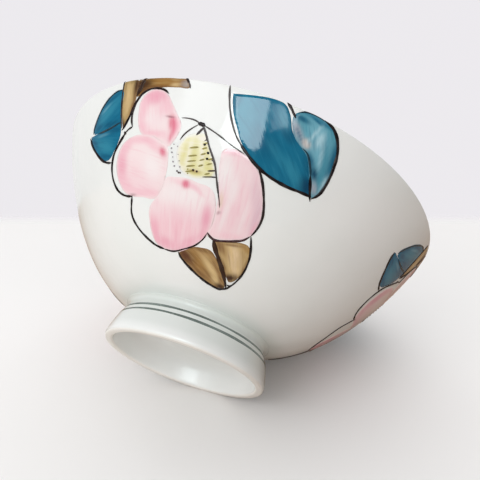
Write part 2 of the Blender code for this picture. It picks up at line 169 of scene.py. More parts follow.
# ---- painted shapes
# Places are (degrees round the bowl, millimetres down the wall from the rim).  A third
# value of 1 marks a sharp corner.  The brush leans this many degrees from level.  A dab is
# (degrees, drop, half length, half width, lean, strength, colour), laid over those before it.
PATCHES = {
    "top_petal": dict(slot="pink_enamel", base=PINK_PALE, brush=80, outline=(
        (-37.2, 9.0), (-36.9, 6.6), (-35.4, 4.6), (-33.2, 3.6), (-30.8, 3.5), (-28.6, 4.6), (-26.6, 7.0),
        (-24.6, 9.6), (-23.0, 11.8), (-23.2, 14.0), (-24.6, 16.4), (-26.0, 17.6), (-28.4, 16.6),
        (-31.2, 15.4), (-35.2, 14.9), (-36.9, 12.4),
    ), dabs=(
        (-32.4, 5.4, 4.2, 2.2, 0, 0.95, PINK_DEEP), (-35.8, 9.0, 5.0, 1.5, 90, 0.95, PINK),
        (-28.4, 8.4, 4.6, 2.0, -55, 0.85, PINK), (-35.8, 13.0, 2.2, 1.6, 0, 0.9, PINK),
        (-31.0, 11.0, 3.2, 2.2, 0, 0.45, WHITE), (-32.0, 14.8, 4.4, 1.1, 0, 0.9, PINK),
        (-24.4, 12.4, 3.0, 1.4, 95, 0.9, PINK), (-26.6, 15.4, 2.2, 1.2, 0, 0.7, PINK_SOFT),
        (-25.5, 12.0, 2.3, 1.0, 76, 1.0, PINK_RED), (-25.4, 14.6, 2.0, 0.5, 100, 0.9, PINK_RED),
        (-26.6, 10.3, 1.1, 0.28, 6, 0.8, PLUM),
    )),
    "left_petal": dict(slot="pink_enamel", base=PINK_PALE, brush=15, outline=(
        (-41.4, 16.4), (-38.0, 15.2), (-34.8, 14.95), (-31.4, 15.4), (-28.6, 16.5), (-26.2, 17.6),
        (-25.4, 20.6), (-25.5, 24.2), (-26.7, 28.2), (-28.9, 30.6), (-34.0, 30.6), (-38.7, 30.4),
        (-42.0, 29.4), (-44.2, 27.2), (-45.5, 23.8), (-44.9, 20.2), (-43.4, 17.9),
    ), dabs=(
        (-36.0, 26.6, 8.0, 4.2, 0, 0.85, PINK_SOFT), (-43.0, 22.4, 4.8, 1.9, 95, 0.9, PINK_DEEP),
        (-42.0, 27.2, 3.6, 2.2, 40, 0.85, PINK), (-41.0, 17.8, 2.8, 1.6, -45, 0.85, PINK),
        (-35.0, 16.2, 4.6, 1.1, 0, 0.85, PINK), (-30.6, 17.8, 2.6, 1.1, 30, 0.8, PINK),
        (-30.6, 23.0, 3.4, 2.6, 60, 0.7, WHITE), (-33.0, 29.4, 5.6, 1.3, 0, 0.8, PINK),
        (-38.6, 30.2, 1.4, 0.5, 0, 0.8, PLUM), (-27.4, 19.1, 1.4, 0.85, 62, 0.97, PINK_RED),
        (-26.6, 20.6, 1.2, 0.8, 90, 0.5, PINK_SOFT),
    )),
    "lower_petal": dict(slot="pink_enamel", base=PINK_PALE, brush=88, outline=(
        (-25.4, 25.2), (-22.4, 24.7), (-18.6, 24.5), (-14.8, 25.0), (-10.4, 25.6), (-7.8, 28.4),
        (-6.95, 32.0), (-7.3, 36.0), (-9.6, 39.0), (-12.6, 41.4), (-16.6, 42.9), (-21.0, 43.4),
        (-25.0, 43.2), (-28.4, 42.2), (-30.4, 39.8), (-31.3, 36.6), (-31.2, 33.0), (-29.0, 30.7),
        (-26.7, 28.2),
    ), dabs=(
        (-19.0, 28.8, 8.0, 3.0, 0, 0.7, WHITE), (-19.6, 37.6, 9.0, 5.6, 0, 0.9, PINK),
        (-29.2, 38.6, 4.0, 1.9, 80, 0.85, PINK_DEEP), (-24.0, 41.6, 4.6, 1.7, 10, 0.85, PINK_DEEP),
        (-14.6, 40.4, 3.6, 1.6, -35, 0.75, PINK_DEEP), (-9.6, 33.0, 3.6, 1.5, 84, 0.95, PINK_DEEP),
        (-9.8, 37.4, 2.2, 1.0, 100, 0.7, PINK_DEEP), (-22.6, 37.0, 4.0, 0.5, 86, 0.45, PINK_PALE),
        (-17.0, 37.0, 3.6, 0.45, 92, 0.4, PINK_PALE), (-19.6, 39.6, 3.4, 0.6, 84, 0.5, PINK_DEEP),
        (-18.2, 26.0, 3.4, 0.8, 6, 0.75, PINK), (-18.5, 25.9, 1.1, 0.95, 90, 0.97, PINK_RED),
        (-14.4, 26.8, 2.4, 0.6, 30, 0.6, PINK), (-28.6, 32.0, 1.8, 1.2, 30, 0.6, PINK_SOFT),
    )),
    "right_petal": dict(slot="pink_enamel", base=PINK_SOFT, brush=84, outline=(
        (-9.6, 15.8), (-6.8, 15.0), (-4.0, 15.4), (-1.0, 16.8), (1.2, 18.2), (3.8, 21.4), (6.0, 25.0),
        (7.2, 28.2), (7.3, 31.0), (6.4, 33.4), (3.8, 35.3), (0.4, 36.3), (-4.0, 37.1), (-7.1, 36.8),
        (-7.0, 33.0), (-7.15, 29.6), (-8.0, 25.6), (-9.2, 22.0), (-9.9, 18.6),
    ), dabs=(
        (-7.6, 20.6, 4.6, 2.0, 80, 0.85, WHITE), (-3.8, 24.0, 4.0, 1.2, 84, 0.6, WHITE),
        (-7.4, 15.8, 2.4, 0.8, -8, 0.85, PINK), (-4.6, 15.3, 1.4, 0.4, 14, 0.7, PLUM),
        (-1.6, 19.6, 2.8, 1.4, 50, 0.6, PINK_PALE), (3.4, 24.0, 5.0, 1.5, 66, 0.5, LILAC),
        (5.9, 29.0, 5.0, 1.3, 88, 0.7, LILAC), (6.6, 31.4, 2.6, 0.7, 95, 0.6, PINK_DEEP),
        (-1.0, 30.4, 5.0, 0.7, 88, 0.4, PINK), (2.0, 30.0, 5.0, 0.6, 86, 0.35, WHITE),
        (-4.0, 31.0, 4.4, 0.7, 92, 0.45, WHITE), (1.6, 35.2, 4.4, 0.9, -8, 0.6, PINK),
        (-6.2, 30.7, 0.7, 0.45, -40, 0.6, PLUM), (-6.4, 27.6, 2.0, 0.5, 80, 0.5, OCHRE_PALE),
    )),
    "stamens": dict(slot="yellow_enamel", base=YELLOW_PALE, brush=0, outline=(
        (-18.0, 13.4), (-15.6, 13.3), (-13.9, 15.6), (-12.2, 18.1), (-10.9, 20.3), (-10.4, 22.4),
        (-13.6, 23.7), (-17.6, 24.0), (-20.6, 23.0), (-22.4, 20.8), (-23.0, 18.0), (-22.0, 15.8),
        (-20.2, 14.2),
    ), dabs=(
        (-22.6, 18.6, 4.0, 0.7, 92, 0.5, WHITE), (-20.6, 18.6, 3.8, 0.6, 96, 0.7, YELLOW),
        (-20.0, 22.6, 2.0, 0.7, 30, 0.5, WHITE), (-19.1, 18.4, 3.8, 0.35, 92, 0.5, WHITE),
        (-17.4, 19.2, 4.6, 0.9, 86, 0.85, YELLOW_DEEP), (-12.8, 20.6, 3.2, 1.3, 66, 0.9, YELLOW_DEEP),
        (-16.4, 22.6, 2.4, 1.1, 0, 0.9, YELLOW_DEEP), (-15.4, 17.8, 3.4, 0.35, 76, 0.55, WHITE),
        (-14.2, 17.4, 2.6, 0.5, 66, 0.7, YELLOW), (-16.4, 22.5, 1.5, 0.5, 0, 0.7, OCHRE),
        (-15.6, 14.4, 1.6, 0.8, 0, 0.6, WHITE),
    )),
    "big_leaf_left": dict(slot="teal_enamel", base=TEAL, brush=48, outline=(
        (-11.4, 2.3, 1), (-7.0, 1.5), (-3.4, 0.9), (-0.4, 0.7), (1.4, 1.0), (3.1, 2.5), (4.2, 4.2),
        (5.2, 6.0), (7.0, 7.7), (9.2, 8.9), (11.2, 10.1), (13.2, 12.6), (15.1, 15.5), (17.0, 18.3, 1),
        (13.4, 18.6), (9.8, 18.7), (6.4, 18.4), (2.8, 17.6), (-0.8, 16.3), (-3.6, 14.7), (-6.0, 12.8),
        (-7.8, 10.2), (-9.4, 7.8), (-10.6, 5.2),
    ), dabs=(
        (-7.4, 6.0, 7.0, 2.6, 70, 0.7, TEAL_LIGHT), (2.4, 4.4, 3.4, 1.2, 62, 0.45, TEAL_WASH),
        (-9.9, 3.8, 2.2, 0.8, 95, 0.8, TEAL_DEEP), (-1.6, 6.4, 3.6, 0.9, 84, 0.5, TEAL_LIGHT),
        (-0.6, 11.4, 4.8, 2.6, 60, 0.6, TEAL_DEEP), (14.6, 16.8, 2.5, 1.7, 60, 0.97, TEAL_INK),
        (9.8, 15.2, 3.8, 1.4, 42, 0.75, TEAL_LIGHT), (5.2, 7.6, 2.2, 1.2, 40, 0.8, TEAL_DEEP),
        (12.6, 12.6, 2.6, 0.8, 54, 0.7, TEAL_DEEP), (3.6, 12.4, 4.0, 1.0, 40, 0.4, TEAL_LIGHT),
    )),
    "big_leaf_right": dict(slot="teal_enamel", base=TEAL_OPEN, brush=66, outline=(
        (4.3, 2.8), (5.2, 1.4), (7.2, 0.7), (10.2, 0.6), (13.2, 1.0), (15.6, 2.5), (17.4, 4.9), (18.6, 7.6),
        (19.2, 10.6), (19.4, 13.6), (19.2, 16.2), (18.4, 18.3, 1), (17.0, 18.3), (15.0, 15.6), (13.1, 12.7),
        (11.1, 10.2), (9.1, 9.0), (6.9, 7.8), (5.3, 5.9), (4.4, 4.0),
    ), dabs=(
        (12.4, 6.4, 6.6, 2.6, 66, 0.9, TEAL_WASH), (6.3, 5.6, 3.2, 1.0, 50, 0.9, LILAC_GREY),
        # The peach dab is a painted highlight.
        (9.8, 7.6, 1.2, 0.9, 60, 0.9, PEACH_HIGHLIGHT), (6.6, 2.6, 1.6, 0.7, 10, 0.85, TEAL_DEEP),
        # The milky teal dabs are pale brush streaks, and partly a painted highlight.
        (10.8, 4.6, 3.2, 0.35, 104, 0.8, TEAL_STREAK_AND_HIGHLIGHT), (12.6, 5.4, 2.0, 0.8, 92, 0.9, TEAL_STREAK_AND_HIGHLIGHT),
        (10.0, 1.6, 1.3, 0.30, 24, 0.8, TEAL_DEEP), (7.3, 6.4, 1.8, 0.30, 52, 0.6, TEAL_DEEP),
        (14.6, 8.0, 3.8, 0.5, 76, 0.75, TEAL_STREAK_AND_HIGHLIGHT), (13.4, 12.4, 3.0, 0.40, 60, 0.7, TEAL_DEEP),
        (16.0, 9.0, 5.0, 0.8, 70, 0.7, TEAL_MID), (18.2, 8.4, 5.4, 1.0, 80, 0.9, TEAL_DEEP),
        (11.6, 1.4, 5.0, 0.6, 6, 0.7, TEAL), (12.6, 10.6, 2.0, 0.8, 52, 0.8, TEAL_DEEP),
        (15.2, 13.2, 1.7, 0.75, 60, 0.95, TEAL_INK), (17.0, 16.2, 1.8, 0.8, 62, 0.9, LILAC_GREY),
        (18.7, 14.2, 2.2, 0.42, 88, 0.9, TEAL_STREAK_AND_HIGHLIGHT), (16.6, 12.6, 2.6, 0.6, 74, 0.6, TEAL_MID),
    )),
    "small_leaf_upper": dict(slot="teal_enamel", base=TEAL, brush=-28, outline=(
        (-43.9, 2.7), (-43.8, 7.0), (-43.7, 11.5, 1), (-48.0, 12.35), (-52.0, 12.6), (-56.8, 12.5, 1),
        (-57.0, 11.0), (-55.4, 8.6), (-52.8, 6.1), (-49.6, 4.0), (-46.6, 2.8),
    ), dabs=(
        (-50.0, 7.8, 4.4, 1.6, -32, 0.9, TEAL_LIGHT), (-47.6, 11.2, 3.6, 0.8, 0, 0.85, TEAL_DEEP),
        (-46.4, 5.4, 2.6, 1.0, -30, 0.5, TEAL_LIGHT), (-54.6, 11.0, 1.6, 0.9, 0, 0.7, TEAL_DEEP),
        (-55.0, 9.0, 2.6, 0.6, -50, 0.8, TEAL_DEEP), (-49.0, 4.8, 3.0, 0.5, -25, 0.6, TEAL_DEEP),
        (-50.6, 6.6, 2.0, 0.4, -32, 0.5, TEAL_WASH),
    )),
    "small_leaf_lower": dict(slot="teal_enamel", base=TEAL, brush=15, outline=(
        (-59.0, 12.7, 1), (-55.0, 12.6), (-50.0, 12.4), (-43.7, 11.4, 1), (-43.6, 14.2), (-44.7, 16.5),
        (-46.4, 18.4), (-48.4, 20.2), (-50.8, 20.6), (-53.6, 19.2), (-56.4, 16.9), (-58.2, 14.6),
    ), dabs=(
        (-51.0, 16.6, 4.0, 1.8, 25, 0.9, TEAL_LIGHT), (-46.0, 13.0, 2.8, 0.8, 0, 0.85, TEAL_DEEP),
        (-56.6, 14.8, 2.2, 0.8, 45, 0.8, TEAL_DEEP), (-50.4, 19.4, 3.0, 0.6, 12, 0.7, TEAL_DEEP),
        (-52.0, 13.6, 2.4, 0.4, 0, 0.4, TEAL_WASH),
    )),
    "top_sepal": dict(slot="brown_enamel", base=OCHRE_LIGHT, brush=86, outline=(
        (-43.9, 0.0, 1), (-38.7, 0.0, 1), (-38.5, 2.4), (-38.4, 4.6), (-38.8, 6.4), (-39.6, 8.4),
        (-41.0, 10.8), (-42.9, 13.1, 1), (-43.5, 9.6), (-43.8, 5.0),
    ), dabs=(
        (-41.6, 5.4, 4.0, 1.0, 88, 0.85, OCHRE_PALE), (-41.0, 0.6, 2.4, 0.9, 0, 0.75, OLIVE),
        (-42.8, 12.0, 2.0, 0.9, 76, 0.95, BROWN_DEEP), (-39.2, 3.6, 3.6, 0.6, 92, 0.9, BROWN),
        (-39.7, 7.6, 2.2, 0.6, 110, 0.8, BROWN), (-40.8, 9.6, 2.0, 0.5, 112, 0.6, OCHRE),
        (-43.3, 3.0, 3.4, 0.35, 90, 0.6, OLIVE), (-38.9, 1.8, 2.6, 0.9, 90, 0.9, BROWN_DEEP),
    )),
    "bud": dict(slot="brown_enamel", base=OCHRE_DEEP, brush=0, outline=(
        (-38.6, 2.6), (-38.8, 0.1, 1), (-36.4, 0.1), (-33.0, 0.4), (-29.6, 0.3), (-26.4, 0.6), (-24.2, 0.5),
        (-23.2, 1.4), (-22.6, 2.6), (-25.6, 2.9), (-29.6, 3.0), (-33.0, 3.4), (-35.6, 3.9), (-37.4, 4.9),
        (-38.3, 5.2, 1),
    ), dabs=(
        (-31.0, 1.6, 4.0, 0.9, 0, 0.6, OCHRE_DEEP), (-37.0, 2.2, 2.8, 2.3, 0, 0.98, BROWN_DEEP),
        (-32.6, 3.0, 3.2, 0.6, -4, 0.8, BROWN), (-26.6, 2.4, 1.2, 0.6, 0, 0.9, OCHRE_PALE),
        (-26.8, 1.0, 1.0, 0.5, 0, 0.6, OCHRE_LIGHT), (-24.0, 1.9, 1.1, 1.1, 0, 0.98, BUD_GREY),
    )),
    "lower_sepal_left": dict(slot="brown_enamel", base=OCHRE, brush=26, outline=(
        (-18.1, 43.4, 1), (-15.6, 42.2), (-12.4, 41.0), (-8.8, 40.5), (-5.2, 40.5), (-2.3, 41.9),
        (0.5, 44.0), (3.1, 46.0), (5.2, 48.0), (6.0, 49.4), (4.4, 50.1), (1.0, 50.0), (-3.6, 49.4),
        (-8.4, 48.2), (-12.6, 46.7), (-16.2, 44.9),
    ), dabs=(
        (-10.4, 44.6, 4.6, 1.8, 30, 0.9, OCHRE_DEEP), (-2.6, 45.4, 5.2, 0.9, 34, 0.9, OCHRE_PALE),
        (-4.6, 43.2, 2.6, 0.5, 30, 0.7, OCHRE_LIGHT), (0.6, 48.2, 2.0, 0.8, 24, 0.9, OCHRE_PALE),
        (-14.8, 43.8, 4.0, 2.0, 24, 0.97, UMBER), (-8.6, 41.0, 4.0, 0.6, 0, 0.7, BROWN),
        (-1.0, 44.2, 3.6, 0.5, 40, 0.6, BROWN), (-7.4, 47.4, 5.0, 0.7, 16, 0.75, BROWN),
        (-4.2, 46.8, 3.6, 0.35, 28, 0.5, BROWN), (4.0, 49.2, 2.2, 1.0, 0, 0.97, BROWN_DEEP),
        (2.8, 47.4, 1.8, 0.6, 44, 0.8, BROWN),
    )),
    "lower_sepal_right": dict(slot="brown_enamel", base=OCHRE_LIGHT, brush=58, outline=(
        (-4.9, 37.9, 1), (-1.2, 37.1), (2.4, 36.3), (5.2, 35.8), (7.6, 36.0), (9.2, 37.6), (10.0, 39.6),
        (10.3, 42.0), (9.7, 44.6), (8.4, 46.4), (6.8, 47.0), (5.2, 46.3), (2.6, 44.4), (-0.2, 42.2),
        (-2.8, 40.0),
    ), dabs=(
        (0.2, 39.4, 2.6, 1.2, 40, 0.6, OCHRE), (5.2, 40.8, 4.6, 1.7, 55, 0.85, OCHRE_CREAM),
        (3.0, 39.4, 3.6, 0.45, 52, 0.9, OCHRE_PALE), (7.2, 42.0, 3.0, 0.45, 60, 0.8, OCHRE_PALE),
        (5.2, 43.6, 2.2, 0.4, 50, 0.8, OCHRE_PALE), (-2.6, 38.6, 2.4, 1.1, 30, 0.85, BROWN),
        (7.4, 36.8, 2.4, 0.8, 20, 0.7, OCHRE_DEEP), (2.0, 37.2, 3.0, 0.4, -12, 0.7, BROWN),
        (9.9, 41.4, 4.0, 0.5, 88, 0.75, BROWN), (6.0, 45.9, 3.4, 1.35, -18, 1.0, BROWN_DEEP),
        (1.4, 42.9, 2.6, 0.55, 40, 0.8, BROWN),
    )),
}

# Brush lines: (listed width in millimetres, ink, places along the line).
BRUSH_LINES = (
    # petals
    (0.48, INK_SOFT, ((-28.2, 4.6), (-29.6, 3.7), (-31.4, 3.3), (-33.4, 3.3), (-35.2, 3.8), (-36.9, 4.8),
        (-38.3, 6.5), (-39.2, 8.8), (-39.5, 11.0), (-39.0, 12.9))),
    (0.39, INK_SOFT, ((-38.9, 12.8), (-40.4, 13.4), (-41.6, 14.2))),
    (0.69, INK, ((-42.1, 13.9), (-41.7, 14.3), (-41.5, 14.7))),
    (0.57, INK, ((-41.5, 14.2), (-44.2, 16.8), (-46.4, 19.2), (-47.5, 21.6), (-47.8, 24.0), (-47.2, 26.4),
        (-45.6, 28.6), (-43.2, 29.9), (-40.6, 30.4), (-38.6, 30.4))),
    (0.57, INK, ((-38.7, 30.2), (-39.3, 32.6), (-39.6, 34.6), (-38.8, 36.6), (-36.4, 39.0), (-32.8, 41.1),
        (-29.0, 42.6), (-24.8, 43.3))),
    (0.39, INK_SOFT, ((-25.2, 43.3), (-20.6, 43.4), (-16.2, 42.2), (-11.8, 40.5), (-9.2, 38.4),
        (-8.0, 36.3))),
    (0.53, INK_PLUM, ((-8.1, 36.2), (-6.6, 37.1), (-4.6, 37.5), (-1.4, 37.0), (2.0, 36.1), (4.8, 35.0),
        (6.6, 33.3))),
    (0.53, INK_SOFT, ((6.7, 33.2), (7.5, 31.0), (7.6, 28.6), (6.8, 26.2), (5.2, 23.2), (3.4, 20.4),
        (1.8, 18.4), (0.6, 17.3))),
    # stamens
    (0.30, INK_GREY, ((-23.2, 10.3), (-21.4, 10.2), (-19.4, 10.4), (-17.6, 11.0))),
    (0.86, INK_SOFT, ((-18.3, 11.0), (-17.2, 11.1), (-16.2, 11.3))),
    (0.33, INK_GREY, ((-16.8, 11.2), (-14.6, 11.9), (-12.0, 12.8), (-9.4, 13.8))),
    (0.23, INK_GREY, ((-9.8, 13.7), (-7.0, 14.6), (-4.0, 15.4))),
    (0.40, INK_GREY, ((-16.9, 11.1), (-15.4, 13.4), (-13.8, 16.0), (-12.2, 18.1), (-10.9, 20.0),
        (-9.9, 22.1), (-8.7, 24.6), (-7.4, 27.0))),
    (0.28, INK_PLUM, ((-8.0, 26.0), (-7.0, 27.8), (-6.3, 29.4))),
    (0.28, INK_GREY, ((-18.0, 11.2), (-20.0, 12.7), (-21.6, 14.2), (-22.6, 15.7))),
    (0.41, INK_GREY, ((-16.4, 11.6), (-17.2, 12.7), (-18.1, 13.9))),
    (0.25, INK_GREY, ((-15.4, 13.2), (-14.9, 14.3), (-15.5, 14.9))),
    (0.28, INK_GREY, ((-11.2, 19.3), (-12.3, 18.9))),
    (0.30, INK_PLUM, ((-10.2, 21.1), (-11.4, 21.4), (-12.7, 21.7))),
    (0.30, INK_SOFT, ((-9.4, 22.6), (-11.4, 22.9), (-13.8, 23.4))),
    (0.25, INK_GREY, ((-11.9, 18.2), (-12.5, 17.7), (-12.9, 17.9))),
    # large leaf
    (0.34, INK_GREY, ((-12.7, 0.4), (-12.1, 3.0), (-11.1, 6.0), (-9.6, 9.0), (-7.6, 11.8), (-5.4, 13.8))),
    (0.67, INK, ((-6.0, 13.3), (-3.6, 15.0), (-0.6, 16.7), (2.6, 17.9), (6.4, 18.6), (10.6, 18.8),
        (14.4, 18.5), (17.6, 18.3))),
    (0.60, INK, ((11.6, 0.6), (14.4, 1.4), (16.6, 3.4), (18.2, 6.2), (19.0, 9.2), (19.5, 12.2),
        (19.5, 15.2), (19.0, 17.2), (17.8, 18.7))),
    (0.30, INK_TEAL, ((5.0, 1.7), (6.6, 0.8), (9.2, 0.5), (12.4, 0.8))),
    (0.57, INK_SOFT, ((1.7, 0.2), (3.1, 1.4), (4.9, 3.1))),
    (0.39, INK_TEAL, ((9.4, 8.9), (11.4, 9.8), (13.4, 12.2), (14.8, 14.4))),
    (0.57, INK, ((14.4, 13.8), (15.8, 16.2), (16.9, 18.0), (17.9, 19.4))),
    # small leaf
    (0.46, INK_TEAL, ((-44.2, 2.6), (-46.6, 2.8), (-49.6, 4.0), (-52.8, 6.2), (-55.2, 8.6), (-56.9, 10.9),
        (-57.3, 12.2))),
    (0.50, INK_TEAL, ((-54.4, 12.7), (-51.0, 12.6), (-47.6, 12.2), (-44.0, 11.3))),
    (0.60, INK, ((-59.4, 12.9), (-58.3, 15.2), (-56.0, 17.7), (-53.0, 20.0), (-50.2, 21.1), (-47.7, 21.4))),
    # upper sepal and bud
    (0.34, INK_SOFT, ((-43.9, 0.2), (-44.0, 5.0), (-43.8, 9.0), (-43.4, 12.9))),
    (0.53, INK, ((-39.4, 8.6), (-41.0, 11.0), (-42.4, 12.8), (-43.2, 13.4))),
    (0.57, INK_BROWN, ((-38.2, 5.9), (-39.2, 7.8), (-40.4, 10.0))),
    (0.48, INK_SOFT, ((-24.3, 0.1), (-23.8, 0.7), (-23.1, 1.6))),
    (0.28, INK_GREY, ((-23.4, 1.2), (-22.8, 2.0), (-22.5, 2.9))),
    (0.80, INK_BROWN, ((-38.5, 5.0), (-37.4, 3.0), (-36.8, 1.5), (-36.4, -0.1))),
    # lower sepals
    (0.62, INK, ((-18.4, 43.3), (-17.0, 44.6), (-13.8, 46.3), (-9.0, 48.1), (-4.4, 49.3), (0.0, 50.0),
        (3.6, 50.2), (6.2, 49.6))),
    (0.57, INK, ((6.7, 33.4), (8.4, 36.0), (9.8, 38.8), (10.4, 41.8), (10.2, 44.4), (9.2, 46.8),
        (7.6, 48.8), (5.2, 50.1))),
    (1.15, INK_BROWN, ((-5.3, 37.7), (-3.4, 39.9), (-1.2, 41.9), (1.2, 43.9), (3.6, 46.0), (5.6, 47.8))),
    (0.62, INK, ((-0.2, 42.8), (2.4, 45.0), (4.8, 47.1), (6.0, 48.2), (7.0, 49.3))),
    (0.46, INK, ((6.6, 48.0), (7.6, 48.1), (8.6, 47.6))),
)

# Olive hatching across the stamens, in columns: (degrees of the middle of the strokes, their
# length in degrees, drop of each stroke).
HATCH_COLUMNS = (
    (-18.0, 2.6, (16.9, 18.9, 20.2, 21.4, 22.7)),
    (-15.0, 1.4, (15.4, 16.6, 18.0, 19.4, 20.8)),
    (-12.6, 1.5, (18.8, 20.0, 22.4)),
)

# Anther dots: (degrees, drop, radius in millimetres, ink).
ANTHERS = (
    (-15.2, 15.7, 0.31, INK), (-13.7, 17.5, 0.33, INK), (-13.6, 18.9, 0.31, INK),
    (-12.7, 20.0, 0.22, INK_OLIVE), (-17.0, 22.3, 0.32, INK_BROWN), (-15.8, 22.4, 0.26, INK_BROWN),
    (-12.2, 18.5, 0.16, INK_GREY), (-24.2, 16.9, 0.15, INK_MIST), (-24.8, 17.9, 0.20, INK_MIST),
    (-24.5, 18.9, 0.22, INK_MIST), (-24.0, 20.0, 0.15, INK_MIST), (-23.7, 21.1, 0.22, INK_MIST),
    (-23.1, 22.1, 0.22, INK_MIST), (-23.0, 17.3, 0.14, INK_MIST), (-22.4, 19.2, 0.12, INK_MIST),
    (-21.8, 20.7, 0.17, INK_MIST), (-21.3, 22.1, 0.19, INK_MIST), (-22.0, 23.2, 0.22, INK_GREY),
    (-21.4, 23.5, 0.26, INK_GREY), (-20.9, 23.5, 0.22, INK_GREY), (-18.7, 22.3, 0.18, INK_OLIVE),
    (-18.5, 23.3, 0.18, INK_OLIVE),
)


# ---- curves and places
def bezier(ends, steps):
    """Points along a Bezier curve with these control points."""
    t = np.linspace(0.0, 1.0, steps + 1)[:, None]
    points = [np.array(end, dtype=float) for end in ends]
    while len(points) > 1:
        points = [(1 - t) * a + t * b for a, b in zip(points, points[1:])]
    return points[0]


def smooth_step(value):
    """0 below 0, 1 above 1, and an even S between."""
    value = np.clip(value, 0.0, 1.0)
    return value * value * (3 - 2 * value)


def around(radius, height, degrees):
    """Points at a radius and height, in metres, with the slight unevenness of a turned pot."""
    turn = np.radians(degrees)
    share = np.clip(height / BOWL_HEIGHT, 0.0, 1.0)
    uneven = 1 + share * (0.0016 * np.sin(2 * turn + 0.7) + 0.0009 * np.sin(3 * turn + 2.0))
    radius = radius * uneven
    height = height + np.zeros_like(turn)
    return np.stack((radius * np.sin(turn), -radius * np.cos(turn), height), axis=-1) * MM


def lip_arc(first, last):
    """Section of the rounded lip between two angles, in degrees up from its outer side."""
    turn = np.radians(np.linspace(first, last, 15))
    middle = RIM_RADIUS - 0.5 * LIP_THICKNESS - LIP_INSET
    radius = middle + 0.5 * LIP_THICKNESS * np.cos(turn)
    height = BOWL_HEIGHT - LIP_RISE + LIP_RISE * np.sin(turn)
    return np.stack((radius, height), axis=-1)


def outside_under_lip(steps):
    """Section of the outer wall from just under the lip down to the foot."""
    outer = bezier(OUTER_SECTION, steps)
    return outer[outer[:, 1] < BOWL_HEIGHT - LIP_DROP]


class WallChart:
    """Places on the outer wall, from degrees round it and millimetres down it from the rim."""

    def __init__(self):
        lip = lip_arc(90, 16)
        self.section = np.concatenate((lip, outside_under_lip(400)))
        steps = np.diff(self.section, axis=0)
        lengths = np.hypot(steps[:, 0], steps[:, 1])
        self.drops = np.concatenate(([0.0], np.cumsum(lengths)))
        self.drops += LIP_DROP - self.drops[len(lip)]
        slopes = np.gradient(self.section, axis=0)
        slopes /= np.hypot(slopes[:, 0], slopes[:, 1])[:, None]
        self.normals = np.stack((-slopes[:, 1], slopes[:, 0]), axis=-1)

    def place(self, degrees, drop, lift):
        """Points at a lift above the wall's surface, in metres."""
        radius = np.interp(drop, self.drops, self.section[:, 0])
        height = np.interp(drop, self.drops, self.section[:, 1])
        radius = radius + lift * np.interp(drop, self.drops, self.normals[:, 0])
        height = height + lift * np.interp(drop, self.drops, self.normals[:, 1])
        return around(radius, height, degrees)


CHART = WallChart()


def on_spray(points, spray, lift):
    """Points of a spray on the wall, in metres, from its own chart millimetres."""
    _, turn, lower = spray
    return CHART.place(points[:, 0] / MM_PER_DEGREE + turn, lower - points[:, 1], lift)


def foot_outside(height):
    """Radius of the foot ring's outside at a height: it flares towards the table."""
    rise = (height - TOE_HEIGHT) / (FOOT_TOP - TOE_HEIGHT)
    narrowing = FOOT_RADIUS - FOOT_TAPER - FOOT_NECK_RADIUS
    return FOOT_RADIUS - FOOT_TAPER * rise - narrowing * rise ** 3


# ---- meshes
def new_object(name, data):
    """An object of the scene."""
    made = bpy.data.objects.new(name, data)
    bpy.context.scene.collection.objects.link(made)
    return made


def new_piece(name, points, faces, material, slot, *nodes):
    """A smooth mesh object that rides with the bowl and stands for CAD nodes."""
    mesh = bpy.data.meshes.new(name)
    mesh.from_pydata([tuple(point) for point in points], [], faces)
    mesh.update()
    mesh.shade_smooth()
    mesh.materials.append(material)
    piece = new_object(name, mesh)
    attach(piece, "root")
    if nodes:
        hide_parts(*nodes)
    return piece


def ring_faces(rings, count, closed=False):
    """Faces between rings of the same count of points; a closed row joins the last to the first."""
    faces = []
    for ring in range(rings if closed else rings - 1):
        low = ring * count
        high = (ring + 1) % rings * count
        for i in range(count):
            j = (i + 1) % count
            faces.append((low + i, high + i, high + j, low + j))
    return faces


def turned(name, section, material, node):
    """A porcelain solid turned from a section whose first and last points lie on the axis."""
    middle = section[1:-1]
    degrees = np.arange(TURN_STEPS) * 360.0 / TURN_STEPS
    rings = around(middle[:, None, 0], middle[:, None, 1], degrees[None, :])
    points = list(rings.reshape(-1, 3))
    first, last = len(points), len(points) + 1
    points.append((0.0, 0.0, section[0, 1] * MM))
    points.append((0.0, 0.0, section[-1, 1] * MM))
    faces = ring_faces(len(middle), TURN_STEPS)
    end = (len(middle) - 1) * TURN_STEPS
    for i in range(TURN_STEPS):
        j = (i + 1) % TURN_STEPS
        faces.append((first, i, j))
        faces.append((last, end + j, end + i))
    return new_piece(name, points, faces, material, "porcelain", node)


def set_point_colours(piece, colours):
    """Store the paint's colour at each of the mesh's points."""
    layer = piece.data.color_attributes.new("paint", "FLOAT_COLOR", "POINT")
    values = np.ones((len(colours), 4), dtype=np.float32)
    values[:, :3] = colours
    layer.data.foreach_set("color", values.ravel())


def set_brush_places(piece, vectors):
    """Store, at each point, its place along and across the brush and its distance from the edge."""
    layer = piece.data.attributes.new("brush", "FLOAT_VECTOR", "POINT")
    layer.data.foreach_set("vector", np.asarray(vectors, dtype=np.float32).ravel())


# ---- the pot
def bowl_wall(material):
    """The glazed wall: inside, rounded lip and outside, closed under the floor."""
    inner = bezier(INNER_SECTION, 60)
    inner = inner[inner[:, 1] < BOWL_HEIGHT - 1.2]
    hidden = [(19.0, FOOT_TOP - 0.6), (0.0, FOOT_TOP - 0.6)]
    section = np.vstack((inner, lip_arc(160, 16), outside_under_lip(110), hidden))
    return turned("glazed_wall", section, material, "bowl_wall")


